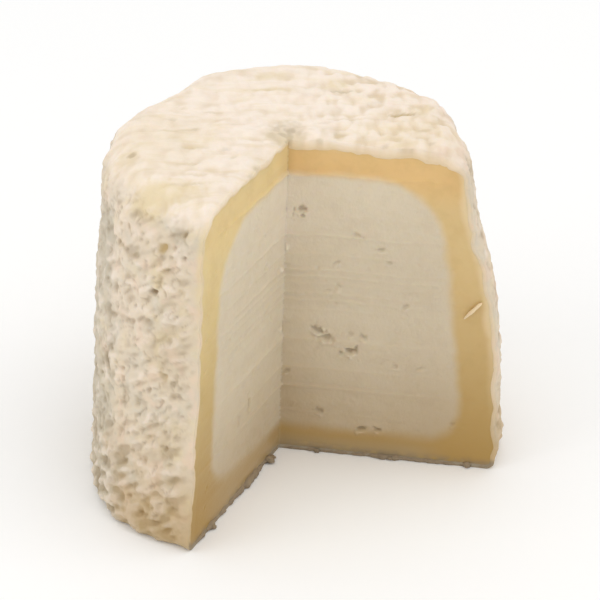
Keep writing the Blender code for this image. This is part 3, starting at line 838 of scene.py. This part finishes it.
def resampled(line, count):
    """A polyline's points, respaced evenly."""
    steps = np.concatenate([[0.0], np.cumsum(np.linalg.norm(np.diff(line, axis=0), axis=1))])
    wanted = np.linspace(0.0, steps[-1], count)
    return np.stack([np.interp(wanted, steps, line[:, axis]) for axis in range(line.shape[1])], 1)


def outline_parts(form, turn, inset, fine):
    """The drum's outline in one direction, set in: along the top, up the wall, along the base."""
    tops, shoulders, walls, feet, _ = OUTLINE_ROWS
    rows = half_section(form, OUTLINE_ROWS)
    points, normals = drum_grid(form, np.array([turn]), rows)
    outer, _ = shape_skin(form, points, normals, fine)
    line = (outer - unit(normals) * inset)[:, 0]
    turn_over = tops + shoulders // 2
    turn_under = tops + shoulders + walls + feet // 2
    top = resampled(line[: turn_over + 1], FACE_COLUMNS)
    wall = resampled(line[turn_over : turn_under + 1][::-1], FACE_ROWS)
    base = resampled(line[turn_under:][::-1], FACE_COLUMNS)
    return top, wall, base


def corner_line(top, bottom):
    """The line where the two cuts meet, from its foot up, nicked and slightly wavy."""
    share = np.linspace(0.0, 1.0, FACE_ROWS)
    line = bottom + (top - bottom) * share[:, None]
    nick = noise_at(line, 2.2 * MM, 3.0)
    tear = np.maximum(0.0, noise_at(line, 0.9 * MM, 7.0)) ** 2
    ends = smooth(share, 0.0, 0.04) * (1 - smooth(share, 0.96, 1.0))
    return line + into_wedge() * (ends * (0.35 * MM * nick + 2.6 * MM * tear))[:, None]


def patch(base, top, inner, wall):
    """A grid of points filling the space between four lines that meet at its corners."""
    across = np.linspace(0, 1, FACE_COLUMNS)[None, :, None]
    up = np.linspace(0, 1, FACE_ROWS)[:, None, None]
    between = (1 - up) * base[None] + up * top[None]
    beside = (1 - across) * inner[:, None] + across * wall[:, None]
    corners = (1 - up) * ((1 - across) * base[0] + across * base[-1])
    corners = corners + up * ((1 - across) * top[0] + across * top[-1])
    return between + beside - corners


def layer_depth(form, points, leftness):
    """How far each point is outside the paste's own outline, in millimetres.

    leftness is 0 at the right cut and 1 at the left one, where the cream layer is deeper.
    """
    radius = flat_length(points)
    outness = np.clip(radius / (form.base_radius - form.side_layer), 0, 1)
    height = points[..., 2]
    wall = wall_radius(form, height)
    beside = radius - (wall - form.side_layer - leftness * form.side_gain)
    above = height - (form.height - form.top_layer - leftness * form.top_gain * outness)
    below = form.base_layer + leftness * form.base_gain * outness - height
    upper = rounded(beside, above, form.heart_shoulder)
    lower = rounded(beside, below, form.heart_foot)
    return np.maximum(upper, lower) / MM


def rounded(first, second, radius):
    """The distance outside two planes' corner, rounded to a radius."""
    one = first + radius
    two = second + radius
    inside = np.minimum(np.maximum(one, two), 0.0)
    return inside + np.hypot(np.maximum(one, 0.0), np.maximum(two, 0.0)) - radius


def under_rind(form, points):
    """How deep each point is below the rind's surface, in millimetres."""
    radius = flat_length(points)
    beside = radius - wall_radius(form, points[..., 2]) - bulge(points)
    return -rounded(beside, points[..., 2] - form.height, form.shoulder) / MM


def small_openings(seed):
    """Many small random openings over a face, in the form of its named ones."""
    draw = random.Random(seed)
    pits = []
    for _ in range(SMALL_OPENINGS):
        size = 0.13 + 0.22 * draw.random() ** 2
        shape = (size * draw.uniform(1.0, 2.2), size, draw.uniform(-40.0, 40.0), 0.3 * size + 0.05)
        pits.append((draw.uniform(1.0, OPENINGS_OUT), draw.uniform(4.0, OPENINGS_UP), *shape))
    return tuple(pits)


def face_relief(across, up, ripe, pits, bumps):
    """How far a cut face stands out at each point, in millimetres, and how hollow it is."""
    wobble = 0.6 + 2.4 * flat_noise(across, up, 0.9, 0.9, 9.0)
    wobble = wobble + 1.6 * flat_noise(across, up, 0.45, 0.45, 2.0)
    white = 1 - smooth(ripe, -0.8, 0.6)
    wave = flat_noise(across, up, 9.0, 14.0, 2.0)
    drag = flat_noise(across, up + 0.25 * across, 7.0, 0.55, 1.0)
    curd = flat_noise(across, up, 0.9, 0.7, 5.0)
    torn = smooth(flat_noise(across, up, 3.2, 2.6, 8.0), 0.12, 0.45)
    calm = 1 - 0.8 * smooth(ripe, 2.0, 4.5)
    rise = calm * (0.10 * wave + 0.017 * drag) + white * curd * (0.02 + 0.06 * torn)
    rise -= 0.05 * smooth(ripe, -0.6, 0.6)
    sunk = 0.75 * marked(across, up, pits, wobble)[0]
    lip = np.maximum(0.0, marked(across, up + 0.5, pits, wobble)[0] - sunk)
    raised = marked(across, up, bumps, wobble)[0]
    # The second value is below zero on crumbs and on the lips under pits, which the paint lightens
    # as a painted highlight; above zero it darkens the pits, partly as painted shade
    return rise - sunk + 0.5 * lip + raised, np.minimum(1.0, sunk / 0.6) - 2 * raised - 0.5 * lip


def cut_face(form, turn, outline, corner, pits, bumps):
    """One cut face as a grid of points, with its depth in the layers and how hollow it is."""
    top, wall, base = outline
    top = top.copy()
    base = base.copy()
    top[0] = corner[-1]
    base[0] = corner[0]
    face = patch(base, top, corner, wall)
    leftness = 0.0 if turn == RIGHT_CUT else 1.0
    ripe = layer_depth(form, face, leftness)
    out = np.array((math.cos(turn), math.sin(turn)))
    across = ((face[..., :2] - CORNER_FOOT) @ out) / MM
    rise, hollow = face_relief(across, face[..., 2] / MM, ripe, pits, bumps)
    held = np.zeros(rise.shape)
    held[1:-1, 1:-1] = 0.5 + 0.5 * smooth(across[1:-1, 1:-1], 0.0, 0.8)
    face = face + cut_normal(turn) * (rise * MM * held)[..., None]
    wander = noise_at(face, 4.0 * MM) + 0.5 * noise_at(face, 1.5 * MM)
    return face, {
        "ripe": ripe + 0.35 * wander,
        "hollow": hollow * (held > 0),
        "left": np.full(rise.shape, leftness),
        "across": across,
        "under": under_rind(form, face) + 0.4 * wander,
    }


def lumpy(lump, size, seed, rough):
    """Points of a rough ball, and its faces."""
    ball = bmesh.new()
    bmesh.ops.create_icosphere(ball, subdivisions=3, radius=1.0)
    points = np.array([vertex.co[:] for vertex in ball.verts])
    faces = [[vertex.index for vertex in face.verts] for face in ball.faces]
    ball.free()
    swell = 1 + rough * noise_at(points, 0.9, seed) + 0.5 * rough * noise_at(points, 0.35, seed)
    return lump + points * swell[:, None] * size, faces


def roll_along(path, radius, sides):
    """Points of a closed roll of varying radius along a path near the floor, and its faces."""
    steps = len(path)
    beside = np.cross(unit(np.gradient(path, axis=0)), (0.0, 0.0, 1.0))
    turn = np.linspace(0.0, 2 * math.pi, sides, endpoint=False)
    ends = np.sin(np.linspace(0.0, math.pi, steps)) ** 0.25
    rings = beside[:, None] * np.cos(turn)[:, None] + np.sin(turn)[:, None] * (0.0, 0.0, 0.8)
    points = path[:, None] + rings * (radius * ends)[:, None, None]
    bumps = noise_at(points, 1.1 * MM, 3.0) + 0.5 * noise_at(points, 0.5 * MM, 1.0)
    points = points + rings * (0.3 * radius[:, None] * bumps * ends[:, None])[..., None]
    points[..., 2] = np.maximum(points[..., 2], FLOOR_LIFT)
    faces = []
    for step in range(steps - 1):
        for side in range(sides):
            other = (side + 1) % sides
            start = step * sides
            after = start + sides
            faces.append([start + side, start + other, after + other, after + side])
    faces.append(list(range(sides)))
    faces.append(list(range((steps - 1) * sides, steps * sides)))
    return points.reshape(-1, 3), faces


def gathered(name, parts, material):
    """One mesh of several closed shapes, each given as points and faces."""
    places = []
    faces = []
    for points, shapes in parts:
        start = len(places)
        places += points.tolist()
        faces += [[start + corner for corner in shape] for shape in shapes]
    mesh = bpy.data.meshes.new(name)
    mesh.from_pydata(places, [], faces)
    return closed(name, mesh, material, False)


def on_cut(form, turn, across, up, out):
    """A place by a cut: how far along it from the corner's foot, how high, how far off it."""
    corner = corner_at(form, up)
    here = twisted(form, turn, up)
    flat = np.array((math.cos(here), math.sin(here)))
    place = corner + flat * (across - (corner - CORNER_FOOT) @ flat)
    return np.array((*place, up)) + cut_normal(turn) * out


def make_ragged_foot(form, material):
    """The torn rind along the foot of each cut, and the crumbs that the knife left there."""
    parts = []
    for turn, far, size in FOOT_ROLLS:
        steps = np.linspace(0.3, far, 320)
        path = np.array([on_cut(form, turn, step * MM, 0.7 * size * MM, 0.0) for step in steps])
        swell = noise_at(path, 3.2 * MM, 4.0) + 0.6 * noise_at(path, 1.2 * MM, 8.0)
        path += cut_normal(turn) * (size * MM * (0.6 * swell - 0.5))[:, None]
        parts.append(roll_along(path, size * MM * (1 + 0.40 * swell), 14))
    for index, (cut, across, up, out, size) in enumerate(CRUMBS):
        turn = LEFT_CUT if cut == "left" else RIGHT_CUT
        place = on_cut(form, turn, across * MM, up * MM, out * MM)
        stretch = np.array((1.25, 0.9, 0.8)) * size * MM
        points, faces = lumpy(place, stretch, index * 3.1, 0.45)
        points[:, 2] = np.maximum(points[:, 2], FLOOR_LIFT)
        parts.append((points, faces))
    return gathered("ragged_foot", parts, material)


def make_shred(form, material):
    """A pale sliver of rind that the knife left lying on the cream at the right."""
    share = np.linspace(0.0, 1.0, 40)
    points = []
    for part in share:
        across = (28.6 + 2.7 * part) * MM
        up = (26.8 + 3.4 * part - 0.5 * part**4) * MM
        out = (0.22 + 0.22 * math.sin(math.pi * part)) * MM
        points.append(on_cut(form, RIGHT_CUT, across, up, out))
    path = np.array(points)
    parts = roll_along(path, (0.44 + 0.16 * np.sin(math.pi * share)) * MM, 10)
    return gathered("shred", [parts], material)


def make_body(form, material):
    """The cheese inside its rind: cream layer and paste in one, open at the two cuts."""
    right_line = outline_parts(form, RIGHT_CUT, FACE_INSET, True)
    left_line = outline_parts(form, LEFT_CUT, FACE_INSET, True)
    corner = corner_line(right_line[0][0], right_line[2][0])
    right_pits = RIGHT_PITS + small_openings(3)
    left_pits = LEFT_PITS + small_openings(5)
    right, on_right = cut_face(form, RIGHT_CUT, right_line, corner, right_pits, RIGHT_BUMPS)
    left, on_left = cut_face(form, LEFT_CUT, left_line, corner, left_pits, LEFT_BUMPS)
    near = math.radians(3.0)
    columns = [run_round(right[-1], right[:, -1], right[0])]
    for turn in np.linspace(RIGHT_CUT + near, LEFT_CUT - near, HIDDEN_COLUMNS):
        columns.append(run_round(*outline_parts(form, turn, form.skin + HIDDEN_INSET, False)))
    columns.append(run_round(left[-1], left[:, -1], left[0]))
    hidden = np.stack(columns, axis=1)
    hidden[:, 1:-1] = sunk_in(form, hidden[:, 1:-1], HIDDEN_SINK)
    hidden[0, :] = corner[-1]
    hidden[-1, :] = corner[0]
    plain = np.ones(hidden.shape[:2])
    values = {name: [on_right[name], on_left[name], plain] for name in on_right}
    values["hollow"][2] = 0.0 * plain
    return welded("cut_cheese", [right, left, hidden], values, material)


def run_round(top, wall, base):
    """An outline's three parts in one, from the top of the corner line round to its foot."""
    return np.concatenate([top, wall[::-1][1:], base[::-1][1:]])


def rind_paint(colours):
    """Cream rind: straw and pink patches, grey bloom, brown pits, specks of mould, painted light
    and shade.
    """
    paint = Paint("rind")
    yellow = paint.stored("yellow")
    edge = paint.stored("edge")
    low = paint.stored("low")
    height = paint.axis("Z")
    side = paint.axis("X")
    leftward = paint.axis("X", paint.turned())
    on_top = paint.band(paint.stored("upward"), 0.05, 0.70)
    on_wall = 1 - on_top
    bloom = paint.band(paint.cloud(5.0 * MM, 3.0, 0.55, 0.3), 0.46, 0.66)
    straw = paint.band(paint.cloud(6.0 * MM, 3.0, 0.6, 0.7), 0.50, 0.70)
    blush = paint.band(paint.cloud(3.4 * MM, 2.0, 0.5, 1.9), 0.50, 0.68)
    warm = paint.band(side, 4.0 * MM, 22.0 * MM) * on_top
    pale = paint.band(side, -10.0 * MM, -20.0 * MM) * paint.band(height, 18.0 * MM, 34.0 * MM)
    # Painted shade: the wall greyer and darker towards the far left of the main view, broken into
    # patches
    patchy = (paint.cloud(8.0 * MM, 3.0, 0.6, 0.9) - 0.5) * (18.0 * MM)
    shade = paint.band(leftward + patchy, -24.5 * MM, -30.0 * MM) * on_wall
    grey = paint.mix(0.38, colours.bloom, colours.mould)
    streaks = paint.cloud(1.0, 3.0, 0.6, 0.0, paint.scaled(paint.turned(), STREAK_SIZE))
    streaks = paint.band(streaks, 0.50, 0.66) * on_top
    colour = paint.coated(
        paint.mix(on_top, colours.wall, colours.top),
        (bloom * (1 - 0.85 * on_top) * 0.70, colours.bloom),
        (straw * (0.45 - 0.20 * on_top), colours.straw),
        (blush * (1 - on_top * 0.7) * 0.50, colours.blush),
        (warm * (0.20 + 0.35 * blush), colours.blush),
        (pale * on_wall * 0.24, colours.top),
        (shade * 0.78, grey),
        (streaks * 0.28, colours.straw),
        (yellow * 0.75, colours.straw))
    # Painted light and shade on the relief: the ground between knobs and bumps darker, partly the
    # rind's own straw and brown; the tops of the knobs lighter, a painted highlight; pits darker,
    # partly painted shade and partly their own brown and grey mould
    dull = paint.coated(colours.straw, (0.40, colours.blush), (0.20, colours.hollow))
    sunk = paint.mix(on_top, colours.hollow, dull)
    deep = paint.band(low, -0.35 * on_top, 0.8 + 0.7 * on_top)
    pit = paint.mix(paint.band(on_top, 0.7, 1.0), colours.hollow, colours.mould)
    pit = paint.mix(yellow, pit, colours.cream_foot)
    seep = paint.band(edge, 0.02, 0.28) * paint.band(height, 34.0 * MM, 46.0 * MM)
    seep = seep * paint.band(side, 5.0 * MM, 1.0 * MM) * (1 - 0.7 * on_top)
    cut = paint.band(edge, 0.15, 0.9) * (0.60 + 0.25 * on_top)
    near_floor = paint.band(height, 18.0 * MM, 0.0)
    torn = paint.band(edge, 0.28, 0.4) * paint.band(height, 2.2 * MM, 0.9 * MM)
    foot = paint.band(height, 1.7 * MM, 0.3 * MM) * paint.band(paint.cloud(0.9 * MM), 0.3, 0.6)
    colour = paint.coated(
        colour,
        (deep * (0.36 + 0.46 * on_top), sunk),
        (paint.band(low, -0.05, -0.8) * 0.50, colours.top),
        (paint.stored("hollow") ** 1.2 * 0.85, pit),
        (seep * 0.45, colours.cream_left),
        (cut, colours.edge),
        (near_floor * (0.60 - 0.50 * shade), colours.cream_foot),
        (torn * 0.85, colours.crust),
        (foot * 0.45, colours.mould))
    rough = 0.72 + 0.2 * paint.cloud(2.0 * MM)
    fine = paint.cloud(0.55 * MM, 4.0, 0.65) + 0.4 * paint.cloud(0.18 * MM)
    paint.finish(colour, rough, fine, 0.14 * MM)
    paint.soften(0.12, (1.0, 0.7, 0.4), 0.6 * MM, 0.25)
    return paint.material


def cut_paint(colours):
    """Ivory paste that turns to straw-yellow cream towards the rind, with painted light high up
    and painted shade that makes both darker and browner towards the foot.
    """
    paint = Paint("cut_cheese")
    hollow = paint.stored("hollow")
    left = paint.stored("left")
    right = 1 - left
    across = paint.stored("across")
    height = paint.axis("Z")
    # Painted shade: darker near the corner of the cuts (inner), towards the right cut's far edge
    # (outer) and towards the foot (low), with some of the paste's own uneven mottle
    inner = paint.band(across, 9.0, 0.0)
    outer = paint.band(across, 13.0, 25.0) * right
    mottle = paint.cloud(2.4 * MM, 4.0, 0.6)
    low = paint.band(height, 27.0 * MM, 1.0 * MM)
    high = paint.band(height, 30.0 * MM, 42.0 * MM)
    foot = low * (0.85 - 0.3 * left * inner) + inner * (1 - 0.9 * left) * (0.30 - 0.18 * high)
    foot = foot + 0.16 * outer + 0.10 * paint.band(mottle, 0.42, 0.68)
    # The paste, lighter towards paste_top high up as painted light, and darker by the painted
    # shade in foot
    paste = paint.coated(
        colours.paste,
        (paint.band(height, 27.0 * MM, 49.0 * MM), colours.paste_top),
        (foot, colours.paste_foot),
        (inner * high * 0.18, colours.top))
    cream_top = paint.band(height, 44.0 * MM, 50.0 * MM) * (1 - 0.75 * left)
    # Painted shade: the cream darker and browner towards the foot, more so at the left cut
    cream_low = paint.band(height, 42.0 * MM, -5.0 * MM)
    cream_low = cream_low + left * 0.15 * paint.band(height, 50.0 * MM, 35.0 * MM)
    cloudy = paint.band(paint.cloud(3.0 * MM, 3.0, 0.6, 2.0), 0.40, 0.70) * 0.12
    apex = paint.band(across, 3.2, 0.8) * cream_top * 0.35
    corner = paint.band(across, 22.0, 27.0) * cream_top * 0.10
    dusty = paint.band(across, 29.0, 16.0)
    dust = paint.band(height, 4.5 * MM, 1.5 * MM) * paint.band(across, 28.0, 20.0)
    torn = paint.band(height, 2.1 * MM, 0.5 * MM)
    torn = torn * paint.band(paint.cloud(1.6 * MM, 3.0), 0.25, 0.60)
    pale = paint.band(paint.stored("under"), 1.9, 0.5) * paint.band(height, 4.0 * MM, 30.0 * MM)
    cream = paint.coated(
        colours.cream,
        (left, colours.cream_left),
        (cream_top, colours.cream_top),
        (cream_low, colours.cream_foot),
        (cloudy + apex + corner, colours.cream_foot),
        (cream_low * left * dusty * 0.4, colours.paste_foot),
        (dust * right * 0.30, colours.mould),
        (torn * 0.70, colours.crust),
        (pale * (0.65 - 0.55 * left), colours.edge))
    soft = paint.band(height, 13.0 * MM, 4.0 * MM)
    share = paint.band(paint.stored("ripe"), -1.0 - 0.8 * soft, 0.9 + 0.3 * soft)
    colour = paint.coated(
        paste,
        (share, cream),
        # Pits darker, partly their own brown and partly painted shade; crumbs and lips lighter, a
        # painted highlight
        (paint.band(hollow, 0.1, 1.0) * 0.24, colours.hollow),
        (paint.band(hollow, 0.0, -1.0) * 0.5, colours.top))
    rough = 0.55 - 0.2 * share + 0.1 * mottle
    fine = paint.cloud(0.5 * MM, 4.0, 0.6) * (1 - 0.7 * share)
    paint.finish(colour, rough, fine, 0.12 * MM)
    paint.soften(0.35, (1.0, 0.65, 0.3), 1.2 * MM, 0.35)
    return paint.material


def scrap_paint(name, first, second, share):
    """Scraps of rind and cream, in a first colour mottled with some share of a second."""
    paint = Paint(name)
    mottle = paint.band(paint.cloud(0.8 * MM, 3.0, 0.6), 0.35, 0.65)
    upper = paint.band(paint.axis("Z"), 0.3 * MM, 1.3 * MM)
    colour = paint.mix((mottle + upper) * share, first, second)
    paint.finish(colour, 0.65 + 0.2 * mottle, paint.cloud(0.25 * MM, 3.0), 0.10 * MM)
    paint.soften(0.15, (1.0, 0.7, 0.4), 0.6 * MM, 0.25)
    return paint.material


def sizes():
    """The sizes set in the panel."""
    return bpy.context.scene.cheese_form


def hues():
    """The colours set in the panel."""
    return bpy.context.scene.cheese_colours


class GOATCHEESE_OT_rind(bpy.types.Operator):
    """Build the rough rind with its torn edges"""

    bl_idname = "goat_cheese.rind"
    bl_label = "Rind"

    def execute(self, context):
        """Builds the rind, which rides on the cheese's one body."""
        rind = make_rind(sizes(), rind_paint(hues()))
        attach(rind, "root")
        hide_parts("creamline")
        return {"FINISHED"}


class GOATCHEESE_OT_cut_cheese(bpy.types.Operator):
    """Build the cream layer and the paste, with the two cut faces"""

    bl_idname = "goat_cheese.cut_cheese"
    bl_label = "Cut cheese"

    def execute(self, context):
        """Builds what is inside the rind."""
        body = make_body(sizes(), cut_paint(hues()))
        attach(body, "root")
        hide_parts("creamline", "paste")
        return {"FINISHED"}


class GOATCHEESE_OT_scraps(bpy.types.Operator):
    """Build the torn rind and crumbs at the foot of the cuts, and the shred on the cream"""

    bl_idname = "goat_cheese.scraps"
    bl_label = "Scraps"

    def execute(self, context):
        """Builds the scraps, which stick to the cheese."""
        colours = hues()
        torn = scrap_paint("ragged_foot", colours.crust, colours.paste_foot, 0.22)
        foot = make_ragged_foot(sizes(), torn)
        pale = scrap_paint("shred", colours.cream_left, colours.edge, 1.0)
        shred = make_shred(sizes(), pale)
        for scrap in (foot, shred):
            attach(scrap, "root")
        return {"FINISHED"}


class GOATCHEESE_OT_stage(bpy.types.Operator):
    """Build the floor, the light and the camera"""

    bl_idname = "goat_cheese.stage"
    bl_label = "Stage"

    def execute(self, context):
        """Builds the plain stage round the cheese."""
        stage = context.scene.cheese_stage
        make_floor(hues())
        make_light(stage)
        make_camera(stage)
        return {"FINISHED"}


def make_floor(colours):
    """A plain pale floor."""
    mesh = bpy.data.meshes.new("floor")
    slab = bmesh.new()
    bmesh.ops.create_grid(slab, x_segments=1, y_segments=1, size=6.0)
    slab.to_mesh(mesh)
    slab.free()
    paint = Paint("floor")
    mottle = paint.cloud(0.3, 1.0)
    shade = paint.mix(mottle * 0.04, colours.floor, (0.8, 0.8, 0.8))
    paint.tree.links.new(shade.socket, paint.shader.inputs["Base Color"])
    paint.shader.inputs["Roughness"].default_value = 0.9
    paint.shader.inputs["Specular IOR Level"].default_value = 0.1
    mesh.materials.append(paint.material)
    floor = linked("floor", mesh)


def add_lamp(name, place, size, watts, colour):
    """A square soft light that looks at the middle of the cheese."""
    lamp = bpy.data.lights.new(name, "AREA")
    lamp.shape = "SQUARE"
    lamp.size = size
    lamp.energy = watts
    lamp.color = colour
    holder = linked(name, lamp)
    holder.location = place
    toward = Vector((0.0, 0.0, sizes().height / 2)) - Vector(place)
    holder.rotation_euler = toward.to_track_quat("-Z", "Y").to_euler()


def make_light(stage):
    """Soft studio light: an even sky, a large lamp overhead and a weaker one in front."""
    scene = bpy.context.scene
    scene.view_settings.view_transform = "Standard"
    world = bpy.data.worlds.new("studio")
    world.use_nodes = True
    sky = world.node_tree.nodes["Background"]
    sky.inputs["Color"].default_value = (1.0, 1.0, 1.0, 1.0)
    sky.inputs["Strength"].default_value = stage.sky
    scene.world = world
    add_lamp("overhead", (0.25, -0.02, 0.70), 0.5, stage.key, (1.0, 0.99, 0.97))
    add_lamp("front_left", (-0.45, -0.40, 0.35), 0.4, stage.fill, (1.0, 0.98, 0.96))


def make_camera(stage):
    """The photograph's view."""
    back = Vector((
        math.sin(VIEW_AZIMUTH) * math.cos(VIEW_ELEVATION),
        -math.cos(VIEW_AZIMUTH) * math.cos(VIEW_ELEVATION),
        math.sin(VIEW_ELEVATION),
    ))
    right = Vector((math.cos(VIEW_AZIMUTH), math.sin(VIEW_AZIMUTH), 0.0))
    up = back.cross(right)
    middle = Vector((0.0, 0.0, VIEW_HEIGHT))
    place = middle + back * stage.camera_distance
    aim = middle + right * stage.aim_right - up * stage.aim_down
    data = bpy.data.cameras.new("camera")
    data.lens = stage.lens
    data.sensor_width = 36.0
    data.clip_start = 0.01
    data.clip_end = 20.0
    camera = linked("camera", data)
    camera.location = place
    camera.rotation_euler = (aim - place).to_track_quat("-Z", "Y").to_euler()
    bpy.context.scene.camera = camera


class GOATCHEESE_PT_panel(bpy.types.Panel):
    """Lists what the cheese is built from"""

    bl_idname = "GOATCHEESE_PT_panel"
    bl_label = "Goat Cheese"
    bl_space_type = "VIEW_3D"
    bl_region_type = "UI"
    bl_category = "Goat Cheese"

    def draw(self, context):
        """Draws a button for each operator, and the properties under them."""
        for operator in OPERATORS:
            self.layout.operator(operator.bl_idname)
        for group in ("cheese_form", "cheese_colours", "cheese_stage"):
            box = self.layout.box()
            settings = getattr(context.scene, group)
            for name in settings.__annotations__:
                box.prop(settings, name)


GROUPS = {
    "cheese_form": CheeseForm,
    "cheese_colours": CheeseColours,
    "cheese_stage": CheeseStage,
}
OPERATORS = (
    GOATCHEESE_OT_rind,
    GOATCHEESE_OT_cut_cheese,
    GOATCHEESE_OT_scraps,
    GOATCHEESE_OT_stage,
)


def register():
    """Registers the properties, the operators and the panel."""
    for name, group in GROUPS.items():
        bpy.utils.register_class(group)
        setattr(bpy.types.Scene, name, bpy.props.PointerProperty(type=group))
    for operator in OPERATORS:
        bpy.utils.register_class(operator)
    bpy.utils.register_class(GOATCHEESE_PT_panel)


def unregister():
    """Removes what register added."""
    bpy.utils.unregister_class(GOATCHEESE_PT_panel)
    for operator in reversed(OPERATORS):
        bpy.utils.unregister_class(operator)
    for name, group in GROUPS.items():
        delattr(bpy.types.Scene, name)
        bpy.utils.unregister_class(group)


def main():
    """Builds the cheese and its stage."""
    register()
    bpy.ops.goat_cheese.rind()
    bpy.ops.goat_cheese.cut_cheese()
    bpy.ops.goat_cheese.scraps()
    bpy.ops.goat_cheese.stage()


if __name__ == "__main__":
    main()
